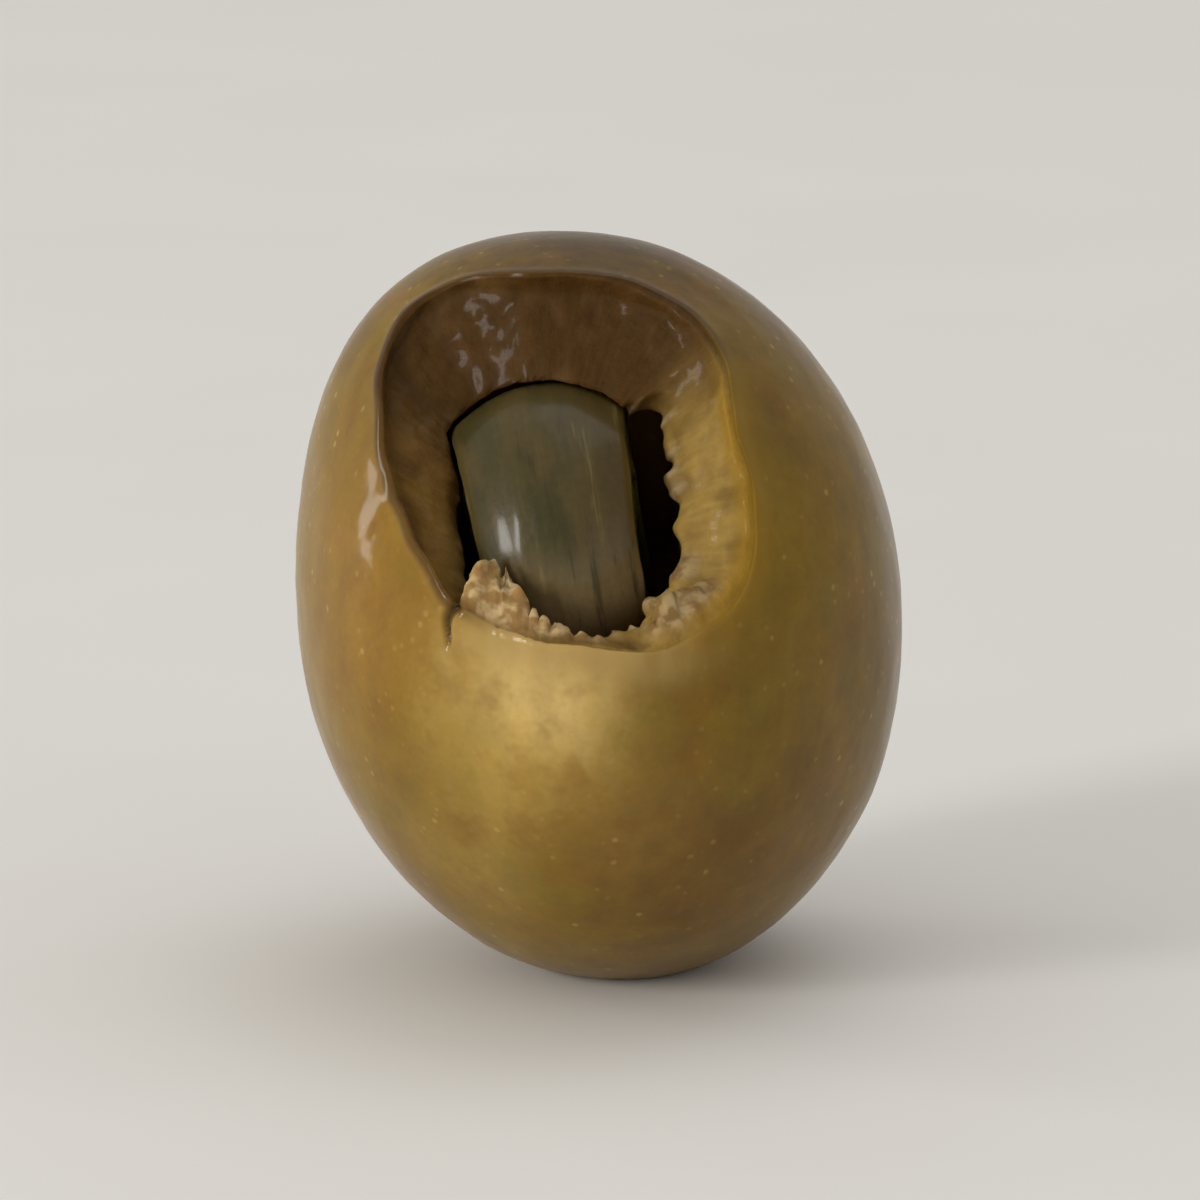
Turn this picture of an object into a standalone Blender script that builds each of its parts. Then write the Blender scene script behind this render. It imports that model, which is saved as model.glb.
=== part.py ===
"""A large green table olive, pitted and stuffed with a folded strip of pickled jalapeno pepper.

The fruit is modelled in its own frame: Z runs along the pit from the far tip to the mouth, X across the
squeezed sides and Y across the fuller ones. An empty then leans that frame back, so that the mouth faces
forwards (-Y) and up, and the fruit stands on a small flat spot under its weight. Metres, +Z up.
"""

import math

import bmesh
import bpy
from mathutils import Matrix, Vector

MM = 0.001

# The whole fruit, before it is pitted
FRUIT_WIDTH = 25.2 * MM
FRUIT_DEPTH = 30.2 * MM
FRUIT_LENGTH = 34.0 * MM
MOUTH_END_FULLNESS = 0.045  # the stalk end is this much fuller than the middle, and the tip as much slimmer
FRUIT_SEGMENTS = 60
FRUIT_RINGS = 40
LUMP_HEIGHT = 0.16 * MM
TIP_HEIGHT = -FRUIT_LENGTH / 2
SHOULDER_DIRECTION = Vector((-0.56, 0.69, 0.46))
SHOULDER_HEIGHT = 1.05 * MM
SHOULDER_SPREAD = math.radians(26)

# How it stands
MOUTH_ELEVATION = math.radians(40)
LEAN_TO_THE_SIDE = math.radians(8)
FRUIT_CENTRE = Vector((-0.78 * MM, -1.92 * MM, 14.95 * MM))

# A soft crease in the skin, from the corner of the mouth towards the tip
CREASE_ANGLE = math.radians(-112)
CREASE_WIDTH = 1.7 * MM
CREASE_DEPTH = 0.35 * MM
CREASE_START = 11.5 * MM
CREASE_END = -6.0 * MM

# The hole that the pit came out of. Each outline is (centre x, centre y, half width, half depth)
PIT_OUTLINE = (-0.3 * MM, -0.4 * MM, 5.2 * MM, 6.1 * MM)
THROAT_OUTLINE = (-0.47 * MM, -0.75 * MM, 4.9 * MM, 6.85 * MM)
LIP_OUTLINE = (-0.1 * MM, -0.65 * MM, 7.9 * MM, 8.2 * MM)
HOLE_TAPER = 0.06  # the hole is this much wider at its upper end than in its middle
HOLE_SQUARENESS = 3.2  # 2 is an ellipse: the strip has pushed the soft flesh towards its own corners
LIP_SQUARENESS = 2.1
PIT_BOTTOM = -10.0 * MM
PIT_WALL_STARTS = -4.5 * MM
PIT_TO_THROAT = (0.0 * MM, 6.0 * MM)
THROAT_TO_LIP = (11.4 * MM, 14.9 * MM)
HOLE_TOP = 18.0 * MM
STUFFING_TURN = math.radians(5)  # the strip, and the throat round it, lie turned about the pit's axis
HOLE_SEGMENTS = 56
LIP_STEPS = 7
WALL_STEPS = 6
ROUND_END_STEPS = 6
RAGGED_THROAT = 0.20 * MM
RAGGED_LIP = 0.22 * MM
# Where the lip stands further out or in, and where it lies lower: (direction in degrees, mm, spread)
LIP_SWELLS = ((13, -1.2, 24), (122, 2.2, 23), (198, -1.0, 34), (311, 1.9, 28))
LIP_DROPS = ((130, 1.4, 28), (314, 0.7, 26))
DROP_STARTS = 6.0 * MM  # the hole's wall is lowered with the lip from this height upwards
# Waves round the torn edge: (how many, phase in radians, share of the height)
RAGGED_WAVES = ((3, 0.9, 0.40), (7, 2.3, 0.28), (12, 0.4, 0.20), (19, 4.1, 0.16))
# Teeth of torn flesh: (direction in degrees, length in mm, spread in degrees)
TORN_TEETH = ((-50, 0.9, 9), (-19, 0.4, 6), (1, 0.35, 5), (15, 0.3, 5), (236, 0.35, 8))

# The crossed cuts that the pitting needle left at the tip: (direction in degrees, length in mm) of each
NEEDLE_CUT_ARMS = ((145, 3.5), (62, 3.2), (-33, 2.4), (-130, 3.2))
NEEDLE_CUT_WIDTH = 0.75 * MM
NEEDLE_CUT_DEPTH = 2.2 * MM
NEEDLE_CUT_OVERLAP = 0.12  # each arm reaches past the middle by this share of half its length

# The pepper strip, folded once with its skin outwards
STRIP_WIDTH = 7.0 * MM
STRIP_THICKNESS = 3.2 * MM
STRIP_SIDE_SHIFT = -1.08 * MM
STRIP_CROWN = 1.3 * MM
STRIP_TAPER = 0.07  # the strip is this much wider at its back than in its middle
STRIP_ROUNDED_EDGE = 0.45 * MM
FOLD_CENTRE_Y = -0.6 * MM
FOLD_CENTRE_Z = 8.9 * MM
FOLD_HALF_DEPTH = 5.9 * MM
FOLD_RISE = 5.5 * MM
FOLD_SQUARENESS = 2.3
LEG_HALF_SPREAD = 3.5 * MM
LEG_PINCH_Z = 3.2 * MM
FRONT_LEG_END_Z = -6.0 * MM
BACK_LEG_END_Z = -4.9 * MM
FOLD_STEPS = 18
LEG_STEPS = 9
STRIP_ACROSS = 4

OLIVE_COLOUR = (0.20, 0.13, 0.018, 1.0)
PEPPER_COLOUR = (0.085, 0.085, 0.032, 1.0)


def smooth_step(value, low, high):
    """0 below low, 1 above high, and a soft S between them."""
    share = min(1.0, max(0.0, (value - low) / (high - low)))
    return share * share * (3 - 2 * share)


def blend(first, second, share):
    """The outline or point that lies that share of the way from first to second."""
    return tuple(a + (b - a) * share for a, b in zip(first, second))


def clear_scene():
    for thing in list(bpy.data.objects):
        bpy.data.objects.remove(thing, do_unlink=True)


def new_collection(name):
    collection = bpy.data.collections.new(name)
    bpy.context.scene.collection.children.link(collection)
    return collection


def new_material(name, colour, roughness):
    material = bpy.data.materials.new(name)
    material.use_nodes = True
    shader = material.node_tree.nodes["Principled BSDF"]
    shader.inputs["Base Color"].default_value = colour
    shader.inputs["Roughness"].default_value = roughness
    shader.inputs["Metallic"].default_value = 0.0
    material.diffuse_color = colour
    return material


def new_object(name, mesh, collection, axes):
    """An object in the fruit's own frame, carried by its axes."""
    thing = bpy.data.objects.new(name, mesh)
    collection.objects.link(thing)
    thing.parent = axes
    return thing


def new_part(name, mesh, collection, axes, material):
    part = new_object(name, mesh, collection, axes)
    mesh.materials.append(material)
    mesh.shade_smooth()
    return part


def new_cutter(name, mesh, collection, axes):
    cutter = new_object(name, mesh, collection, axes)
    cutter.hide_render = True
    cutter.display_type = "WIRE"
    return cutter


def mesh_from(shape, name):
    """A mesh from a bmesh, with its faces turned outwards."""
    bmesh.ops.recalc_face_normals(shape, faces=shape.faces)
    mesh = bpy.data.meshes.new(name)
    shape.to_mesh(mesh)
    shape.free()
    return mesh


def new_axes():
    """The empty that leans the fruit's frame back and a little to one side."""
    axes = bpy.data.objects.new("fruit_axes", None)
    lean_back = Matrix.Rotation(math.pi / 2 - MOUTH_ELEVATION, 4, "X")
    lean_aside = Matrix.Rotation(LEAN_TO_THE_SIDE, 4, "Z")
    axes.matrix_world = Matrix.Translation(FRUIT_CENTRE) @ lean_back @ lean_aside
    return axes


def lumps(direction):
    """The low swellings that make a real fruit a little uneven, from -1 to 1."""
    x, y, z = direction
    broad = math.sin(2.3 * x + 1.1 * y + 0.7) * math.cos(2.1 * y - 1.7 * z + 0.4)
    small = math.sin(5.1 * x - 3.7 * z + 1.9) * math.cos(4.3 * y + 2.9 * x)
    return 0.7 * broad + 0.3 * small


def crease(point):
    """How deep the crease is at a point of the skin."""
    along = smooth_step(point.z, CREASE_END, CREASE_START)
    outward = Vector((math.cos(CREASE_ANGLE), math.sin(CREASE_ANGLE)))
    flat = point.xy
    if flat.dot(outward) <= 0:
        return 0.0
    aside = flat.x * outward.y - flat.y * outward.x
    return CREASE_DEPTH * along * math.exp(-((aside / CREASE_WIDTH) ** 2))


def shoulder(direction):
    """How far the fuller shoulder at the stalk end stands out in a direction."""
    away = direction.angle(SHOULDER_DIRECTION) / SHOULDER_SPREAD
    return SHOULDER_HEIGHT * math.exp(-(away**2))


def skin_point(direction):
    """Where the skin lies in a direction from the fruit's centre."""
    fullness = 1 + MOUTH_END_FULLNESS * direction.z
    point = Vector(
        (
            FRUIT_WIDTH / 2 * fullness * direction.x,
            FRUIT_DEPTH / 2 * fullness * direction.y,
            FRUIT_LENGTH / 2 * direction.z,
        )
    )
    swelling = LUMP_HEIGHT * lumps(direction) + shoulder(direction)
    return point + direction * (swelling - crease(point))


def whole_fruit_mesh(placement):
    """The fruit before it is pitted, with the flat spot that it rests on."""
    shape = bmesh.new()
    bmesh.ops.create_uvsphere(
        shape, u_segments=FRUIT_SEGMENTS, v_segments=FRUIT_RINGS, radius=1.0
    )
    back = placement.inverted()
    for vertex in shape.verts:
        stands = placement @ skin_point(vertex.co.normalized())
        stands.z = max(stands.z, 0.0)
        vertex.co = back @ stands
    return mesh_from(shape, "olive")


def ragged(angle):
    """The uneven edge of torn flesh, from about -1 to 1 round the mouth."""
    return sum(height * math.sin(count * angle + phase) for count, phase, height in RAGGED_WAVES)


def swells(angle, places):
    """How high each of the swells round the mouth stands in a direction: one height for each place."""
    heights = []
    for middle, height, spread in places:
        away = math.remainder(angle - math.radians(middle), 2 * math.pi) / math.radians(spread)
        heights.append(height * MM * math.exp(-(away**2)))
    return heights


def hole_point(share, angle, height):
    """A point of the hole: share is 1 on its wall and 0 on its middle line. Height is before the drops."""
    to_throat = smooth_step(height, *PIT_TO_THROAT)
    to_lip = smooth_step(height, *THROAT_TO_LIP)
    outline = blend(blend(PIT_OUTLINE, THROAT_OUTLINE, to_throat), LIP_OUTLINE, to_lip)
    middle_x, middle_y, half_width, half_depth = outline
    half_width *= 1 + HOLE_TAPER * math.sin(angle)
    squareness = HOLE_SQUARENESS + (LIP_SQUARENESS - HOLE_SQUARENESS) * to_lip
    reach = (abs(math.cos(angle)) ** squareness + abs(math.sin(angle)) ** squareness) ** (-1 / squareness)
    torn = RAGGED_THROAT * ragged(angle) * to_throat * (1 - to_lip)
    torn += (RAGGED_LIP * ragged(angle + 1.3) + sum(swells(angle, LIP_SWELLS))) * to_lip
    torn -= max(swells(angle, TORN_TEETH)) * to_throat * (1 - to_lip)
    aside = Vector(
        (
            share * (half_width * reach + torn) * math.cos(angle),
            share * (half_depth * reach + torn) * math.sin(angle),
        )
    )
    aside.rotate(Matrix.Rotation(STUFFING_TURN * to_throat * (1 - to_lip), 2))
    drop = sum(swells(angle, LIP_DROPS)) * smooth_step(height, DROP_STARTS, THROAT_TO_LIP[0])
    return Vector((middle_x + aside.x, middle_y + aside.y, height - drop))


def hole_profile():
    """Points (share of the radius, height) down the hole's outer side, from above the mouth to its end."""
    throat, lip = THROAT_TO_LIP
    points = [(0.0, HOLE_TOP), (1.0, HOLE_TOP)]
    points += [(1.0, lip + (throat - lip) * step / LIP_STEPS) for step in range(LIP_STEPS)]
    points += [(1.0, throat + (PIT_WALL_STARTS - throat) * step / WALL_STEPS) for step in range(WALL_STEPS)]
    for step in range(ROUND_END_STEPS):
        turn = math.pi / 2 * step / ROUND_END_STEPS
        height = PIT_WALL_STARTS - (PIT_WALL_STARTS - PIT_BOTTOM) * math.sin(turn)
        points.append((math.cos(turn), height))
    return [*points, (0.0, PIT_BOTTOM)]


def turned_plug(name, collection):
    """A plug of radius 1, turned from the hole's profile by a Screw modifier."""
    profile = bpy.data.meshes.new(name + "_profile")
    vertices = [(share, 0.0, height) for share, height in hole_profile()]
    edges = [(i, i + 1) for i in range(len(vertices) - 1)]
    profile.from_pydata(vertices, edges, [])
    turned = bpy.data.objects.new(name + "_profile", profile)
    collection.objects.link(turned)
    screw = turned.modifiers.new("Turn", "SCREW")
    screw.axis = "Z"
    screw.steps = HOLE_SEGMENTS
    screw.render_steps = HOLE_SEGMENTS
    screw.use_merge_vertices = True
    screw.merge_threshold = 1e-5
    graph = bpy.context.evaluated_depsgraph_get()
    mesh = bpy.data.meshes.new_from_object(turned.evaluated_get(graph))
    bpy.data.objects.remove(turned)
    return mesh


def hole_cutter(collection, axes):
    """The whole hole as one solid: pit, throat and the wider cut through the skin."""
    shape = bmesh.new()
    shape.from_mesh(turned_plug("hole", collection))
    bmesh.ops.remove_doubles(shape, verts=shape.verts, dist=1e-6)
    for vertex in shape.verts:
        share = min(1.0, vertex.co.xy.length)
        angle = math.atan2(vertex.co.y, vertex.co.x)
        vertex.co = hole_point(share, angle, vertex.co.z)
    return new_cutter("hole_cutter", mesh_from(shape, "hole_cutter"), collection, axes)


def needle_cutter(index, direction, length, collection, axes):
    """One arm of the crossed cut: a thin blade with a rounded, tapering outline."""
    half = length * MM / 2 * (1 + NEEDLE_CUT_OVERLAP)
    out = length * MM - half
    shape = bmesh.new()
    bmesh.ops.create_uvsphere(shape, u_segments=14, v_segments=8, radius=1.0)
    bmesh.ops.scale(shape, vec=(half, NEEDLE_CUT_WIDTH / 2, NEEDLE_CUT_DEPTH), verts=shape.verts)
    turn = Matrix.Rotation(math.radians(direction), 3, "Z")
    bmesh.ops.rotate(shape, matrix=turn, verts=shape.verts)
    bmesh.ops.translate(shape, vec=turn @ Vector((out, 0, TIP_HEIGHT)), verts=shape.verts)
    name = f"needle_cutter_{index}"
    return new_cutter(name, mesh_from(shape, name), collection, axes)


def subtract(thing, cutter):
    cut = thing.modifiers.new(cutter.name, "BOOLEAN")
    cut.operation = "DIFFERENCE"
    cut.object = cutter
    cut.solver = "EXACT"


def make_olive(parts, cutters, axes):
    """The flesh and its skin, which are one piece, with the pit's hole and the needle's cuts."""
    material = new_material("olive_flesh", OLIVE_COLOUR, 0.32)
    olive = new_part("olive", whole_fruit_mesh(axes.matrix_world), parts, axes, material)
    subtract(olive, hole_cutter(cutters, axes))
    for index, (direction, length) in enumerate(NEEDLE_CUT_ARMS):
        subtract(olive, needle_cutter(index, direction, length, cutters, axes))


def fold_path():
    """Points (y, z) along the strip's skin, from the front leg's end over the fold to the back leg's end."""
    front, back = [], []
    for step in range(LEG_STEPS):
        share = step / LEG_STEPS
        for side, end, leg in ((-1, FRONT_LEG_END_Z, front), (1, BACK_LEG_END_Z, back)):
            z = end + (FOLD_CENTRE_Z - end) * share
            spread = smooth_step(z, LEG_PINCH_Z, FOLD_CENTRE_Z)
            middle = FOLD_CENTRE_Y * spread
            half = LEG_HALF_SPREAD + (FOLD_HALF_DEPTH - LEG_HALF_SPREAD) * spread
            leg.append((middle + side * half, z))
    fold = []
    for step in range(FOLD_STEPS + 1):
        turn = math.pi * (1 - step / FOLD_STEPS)
        y = math.copysign(abs(math.cos(turn)) ** (2 / FOLD_SQUARENESS), math.cos(turn))
        z = math.sin(turn) ** (2 / FOLD_SQUARENESS) if 0 < step < FOLD_STEPS else 0.0
        fold.append((FOLD_CENTRE_Y + FOLD_HALF_DEPTH * y, FOLD_CENTRE_Z + FOLD_RISE * z))
    return front + fold + back[::-1]


def strip_mesh():
    """The strip's skin side as an open sheet: a grid bent along the fold and crowned across."""
    path = fold_path()
    rows = len(path)
    middle = Vector((STRIP_SIDE_SHIFT, FOLD_CENTRE_Y, 0))
    turn = Matrix.Rotation(STUFFING_TURN, 3, "Z")
    shape = bmesh.new()
    bmesh.ops.create_grid(shape, x_segments=STRIP_ACROSS, y_segments=rows - 1, size=1.0)
    last = rows - 1
    for vertex in shape.verts:
        row = round((vertex.co.y + 1) / 2 * last)
        before, after = path[max(row - 1, 0)], path[min(row + 1, last)]
        along = Vector((after[0] - before[0], after[1] - before[1])).normalized()
        outward = Vector((-along.y, along.x))
        crown = STRIP_CROWN * (vertex.co.x**2)
        y = path[row][0] - outward.x * crown
        z = path[row][1] - outward.y * crown
        half_width = STRIP_WIDTH / 2 * (1 + STRIP_TAPER * (y - FOLD_CENTRE_Y) / FOLD_HALF_DEPTH)
        aside = Vector((half_width * vertex.co.x, y - FOLD_CENTRE_Y, z))
        vertex.co = middle + turn @ aside
    return mesh_from(shape, "jalapeno_strip")


def make_strip(parts, axes):
    """The folded strip of pickled pepper: a sheet thickened inwards, with softened edges."""
    material = new_material("pepper", PEPPER_COLOUR, 0.35)
    strip = new_part("jalapeno_strip", strip_mesh(), parts, axes, material)
    thicken = strip.modifiers.new("Thickness", "SOLIDIFY")
    thicken.thickness = STRIP_THICKNESS
    thicken.offset = -1.0
    soften = strip.modifiers.new("Soft edges", "BEVEL")
    soften.width = STRIP_ROUNDED_EDGE
    soften.segments = 2
    soften.limit_method = "ANGLE"
    soften.angle_limit = math.radians(50)


def main():
    clear_scene()
    parts = new_collection("stuffed_olive")
    cutters = new_collection("cutters")
    axes = new_axes()
    parts.objects.link(axes)
    bpy.context.view_layer.update()
    make_olive(parts, cutters, axes)
    make_strip(parts, axes)


main()
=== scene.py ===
"""The looks of a pitted green olive that is stuffed with a folded strip of pickled jalapeno pepper.

The fruit's own frame has Z along the pit towards the mouth, X across its squeezed sides and Y across its
fuller ones. Shapes are worked out there in millimetres. Then stand() leans them back onto the flat spot.
"""

import math

import bpy
import numpy as np
from mathutils import Matrix, Vector, noise


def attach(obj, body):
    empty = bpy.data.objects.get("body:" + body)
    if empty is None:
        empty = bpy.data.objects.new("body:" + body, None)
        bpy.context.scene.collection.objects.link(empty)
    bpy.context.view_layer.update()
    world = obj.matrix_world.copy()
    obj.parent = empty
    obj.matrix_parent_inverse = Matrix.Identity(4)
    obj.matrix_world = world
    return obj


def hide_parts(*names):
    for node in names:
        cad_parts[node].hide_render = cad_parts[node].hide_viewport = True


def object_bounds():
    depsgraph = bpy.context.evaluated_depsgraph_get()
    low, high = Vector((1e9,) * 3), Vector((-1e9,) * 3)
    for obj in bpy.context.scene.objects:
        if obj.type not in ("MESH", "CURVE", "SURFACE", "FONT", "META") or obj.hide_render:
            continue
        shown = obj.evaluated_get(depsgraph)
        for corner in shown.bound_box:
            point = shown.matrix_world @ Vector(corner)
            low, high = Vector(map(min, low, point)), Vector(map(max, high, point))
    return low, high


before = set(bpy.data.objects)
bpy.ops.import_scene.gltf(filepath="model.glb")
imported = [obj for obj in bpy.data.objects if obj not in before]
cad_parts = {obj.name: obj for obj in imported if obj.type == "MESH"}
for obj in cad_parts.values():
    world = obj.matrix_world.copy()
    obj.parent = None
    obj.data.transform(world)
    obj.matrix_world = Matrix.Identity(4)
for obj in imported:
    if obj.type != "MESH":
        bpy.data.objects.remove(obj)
solid_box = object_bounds()

MM = 0.001
# How far apart two seeds read the noise
SEED_STEP = 7.31

# The whole fruit, before it is pitted
FRUIT_HALF = np.array((12.6, 15.1, 17.0))
MOUTH_END_FULLNESS = 0.045
LUMP_HEIGHT = 0.16
SHOULDER_DIRECTION = np.array((-0.56, 0.69, 0.46))
SHOULDER_HEIGHT = 1.05
SHOULDER_SPREAD = math.radians(26)

# How the fruit stands
MOUTH_ELEVATION = math.radians(40)
LEAN_TO_THE_SIDE = math.radians(8)
FRUIT_CENTRE = Vector((-0.78, -1.92, 14.95))
SETTLED_EDGE = 0.05

# The soft crease from the corner of the mouth towards the tip
CREASE_ANGLE = math.radians(-112)
CREASE_WIDTH = 1.7
CREASE_DEPTH = 0.35
CREASE_RUN = (-6.0, 11.5)

# The pit's hole. Each outline is (centre x, centre y, half width, half depth)
PIT_OUTLINE = np.array((-0.3, -0.4, 5.2, 6.1))
THROAT_OUTLINE = np.array((-0.47, -0.75, 4.9, 6.85))
LIP_OUTLINE = np.array((-0.1, -0.65, 7.9, 8.2))
HOLE_TAPER = 0.06
HOLE_SQUARENESS = 3.2
LIP_SQUARENESS = 2.1
PIT_BOTTOM = -10.0
PIT_WALL_STARTS = -4.5
PIT_TO_THROAT = (0.0, 6.0)
THROAT_TO_LIP = (11.4, 14.9)
RIM_SEARCH = (11.5, 17.5)
# The strip, and the throat round it, lie turned about the pit's axis
STUFFING_TURN = math.radians(5)
RAGGED_THROAT = 0.20
RAGGED_LIP = 0.22
# Where the lip stands further out or in, and where it lies lower: (direction in degrees, mm, spread)
LIP_SWELLS = ((13, -1.2, 24), (122, 2.2, 23), (198, -1.0, 34), (311, 1.9, 28))
LIP_DROPS = ((130, 1.4, 28), (314, 0.7, 26))
DROP_STARTS = 6.0
# Waves round the torn edge: (how many, phase in radians, share of the height)
RAGGED_WAVES = ((3, 0.9, 0.40), (7, 2.3, 0.28), (12, 0.4, 0.20), (19, 4.1, 0.16))
# Teeth of torn flesh: (direction in degrees, length, spread in degrees)
TORN_TEETH = ((-50, 0.9, 9), (-19, 0.4, 6), (1, 0.35, 5), (15, 0.3, 5), (236, 0.35, 8))
# The finer tears on top of those, only at the throat's upper edge
FINE_TEARS = 0.32
FINE_TEARS_LEVEL = 11.9
FINE_TEARS_THICKNESS = 0.8
FINE_TEARS_SPACING = 0.21
FINE_TEARS_SHARPNESS = 3.2
# The torn lip along the mouth's lower side: (direction in degrees, how far up over the mouth it reaches).
# It starts as a tongue that lies over the strip's corner, thins out, and rises again after a small notch
TORN_LIP = (
    (224, 0.0),
    (228, 1.1),
    (232, 2.3),
    (237, 2.9),
    (243, 3.0),
    (248, 2.6),
    (252, 1.6),
    (259, 1.15),
    (268, 0.85),
    (277, 0.5),
    (283, 0.1),
    (287, -0.2),
    (291, 0.2),
    (296, 1.1),
    (301, 1.7),
    (307, 1.4),
    (314, 0.8),
    (322, 0.3),
    (330, 0.0),
)
TORN_LIP_BELOW_RIM = 0.6
TORN_LIP_THICKNESS = 0.40
TORN_LIP_CURL = 0.10
TORN_LIP_CRUMPLE = 0.14
TORN_LIP_PULP = 0.10
# The split in the skin beside the tongue: its direction, how wide and deep it is, and how far it runs down
SPLIT_ANGLE = math.radians(227)
SPLIT_HALF_WIDTH = 0.20
SPLIT_DEPTH = 0.35
SPLIT_RUN = 1.9
# Where the flesh presses against the strip: (direction in degrees, how far it may stand in towards it)
PRESSED_FLESH = (
    (-60, 0.3),
    (-45, 0.5),
    (-30, 0.2),
    (0, 0.25),
    (18, 0.25),
    (27, 0.5),
    (34, 1.1),
    (40, 1.9),
    (45, 2.6),
    (52, 3.2),
    (90, 3.2),
    (110, 3.6),
    (130, 3.8),
    (143, 3.4),
    (154, 2.2),
    (164, 1.1),
    (174, 0.5),
    (200, 0.3),
    (216, 0.2),
    (232, 0.1),
    (250, 0.0),
)
PRESSED_HEIGHTS = ((10.6, 11.6), (12.7, 14.0))
PRESSED_BELOW_RIM = (0.4, 1.9)
CONTACT_GAP = 0.22
# How the mouth's edge is worn round, on its left and on its right: (rows to each side, passes)
CRISP_EDGE = (8, 14)
FULL_LIP = (20, 140)

# The low relief of the skin, as (height, size, seed), and what its edge does at the mouth
SKIN_RELIEF = ((0.055, 3.6, 1), (0.024, 1.4, 2), (0.009, 0.62, 4))
PUCKER_HEIGHT = 0.10
PUCKER_REACH = 1.9
ROLLED_EDGE_HEIGHT = 0.09
ROLLED_EDGE_WIDTH = 0.45
# The low relief of the cut flesh
FLESH_FIBRES = 0.09
FLESH_PULP = 0.08
FLESH_FOLDS = 0.16

# The crossed cuts of the pitting needle: (direction in degrees, length)
NEEDLE_CUT_ARMS = ((145, 3.5), (62, 3.2), (-33, 2.4), (-130, 3.2))
NEEDLE_CUT_HALF_WIDTH = 0.26
NEEDLE_CUT_DEPTH = 1.7
NEEDLE_CUT_LIP = 0.05
NEEDLE_CUT_LIP_WIDTH = 0.16
NEEDLE_DIMPLE = 0.22
NEEDLE_DIMPLE_WIDTH = 2.2

# The pepper strip
STRIP_HALF_WIDTH = 3.4
STRIP_THICKNESS = 3.2
STRIP_SIDE_SHIFT = -0.98
STRIP_CROWN = 1.3
STRIP_TAPER = 0.07
STRIP_CORNER = 0.28
STRIP_EDGE_WAVE = 0.10
STRIP_SUNKEN_SIDE = 0.13
STRIP_STREAKS = 0.035
STRIP_DENTS = 0.06
STRIP_CUT_FIBRES = 0.06
FOLD_CENTRE = (-0.6, 8.9)
FOLD_HALF_DEPTH = 5.9
FOLD_RISE = 5.5
FOLD_SQUARENESS = 2.3
LEG_HALF_SPREAD = 3.5
LEG_PINCH_Z = 3.2
FRONT_LEG_END_Z = -6.0
BACK_LEG_END_Z = -4.9

# How finely the two pieces are made
AROUND = 360
SKIN_ROWS = 140
WALL_ROWS = 116
END_ROWS = 10
# The olive's columns stand closer together between these directions, and the change takes some degrees
CLOSER_TOGETHER = (195, 335)
CLOSER_BY = 1.2
CLOSER_FADE = (25, 10)
# How its rows' steps change, up the skin and down into the hollow: (share of the way, size of the step)
SKIN_ROW_STEPS = ((0, 0.4), (0.14, 0.45), (0.3, 1), (0.8, 1), (0.92, 0.45), (1, 0.3))
WALL_ROW_STEPS = ((0, 0.08), (0.4, 0.08), (0.5, 0.3), (0.72, 0.4), (0.82, 1.5), (1, 2.2))
# The level of what lies on the skin, outside the hole
OUTSIDE_LEVEL = 99.0
LEG_STEPS = 120
FOLD_STEPS = 240
STRIP_ROWS = 280
STRIP_SKIN_POINTS = 44
STRIP_INNER_POINTS = 34
STRIP_SIDE_POINTS = 14
STRIP_CORNER_POINTS = 7

# How far curing has darkened every colour below: its red, green and blue
CURED = (0.60, 0.58, 0.43)
# Broad soft patches of the skin's own tones, and of painted light and shade: (centre in millimetres as it
# stands, radius, colour, strength)
SKIN_TONES_AND_PAINTED_LIGHT = (
    # Partly the skin's orange-gold tone, partly painted light on the left side
    ((-8.5, -13.5, 18.5), 7.5, (176, 130, 52), 0.60),
    ((7.3, -13.8, 20.5), 5.0, (168, 134, 32), 0.60),
    ((6.2, -15.8, 14.8), 5.5, (152, 120, 34), 0.55),
    ((2.6, -16.0, 9.0), 5.5, (162, 126, 68), 0.65),
    ((6.0, -11.5, 5.8), 6.5, (130, 92, 36), 0.60),
    # Painted highlight: the pale lit patch under the mouth, then a painted lit streak that runs down from
    # it
    ((-1.7, -18.1, 14.9), 6.0, (230, 194, 112), 0.74),
    ((-1.2, -18.1, 15.6), 4.2, (255, 222, 164), 0.76),
    ((-3.8, -16.8, 11.2), 4.6, (204, 171, 98), 0.50),
    ((-4.9, -13.4, 7.0), 4.0, (186, 156, 92), 0.42),
    # Painted shade: darker on the right side, at the bottom and at the top
    ((11.5, -4.0, 15.0), 8.5, (118, 90, 34), 0.55),
    ((-2.0, 4.0, 1.5), 12.0, (112, 86, 38), 0.60),
    ((-1.0, -3.5, 31.0), 8.0, (98, 74, 46), 0.80),
    ((-4.0, 11.5, 22.0), 9.0, (134, 112, 42), 0.60),
    ((-10.0, 7.0, 12.0), 6.5, (118, 90, 40), 0.50),
)
PATCH_RAGGEDNESS = 1.3

# The camera and what it looks at
CAMERA_AZIMUTH = math.radians(7)
CAMERA_ELEVATION = math.radians(12)
CAMERA_DISTANCE = 0.5
FRAME_WIDTH = 0.050
SENSOR_WIDTH = 36.0

# The room's light, and the lamps: (name, azimuth, elevation, distance, (width, height), power, colour)
DAYLIGHT = 0.50
DAYLIGHT_COLOUR = (1.0, 0.985, 0.96, 1.0)
LAMPS = (
    ("window", -46, 12, 0.9, (0.20, 0.42), 5.2, (1.0, 0.985, 0.96)),
    ("side window", -106, 12, 0.9, (0.12, 0.40), 1.0, (1.0, 0.99, 0.97)),
    ("fill", 60, 12, 1.1, (0.7, 0.7), 0.8, (1.0, 0.98, 0.95)),
    ("ceiling", 150, 70, 1.0, (0.8, 0.8), 1.4, (1.0, 0.99, 0.97)),
)
FLOOR_HALF = 3.0


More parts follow.
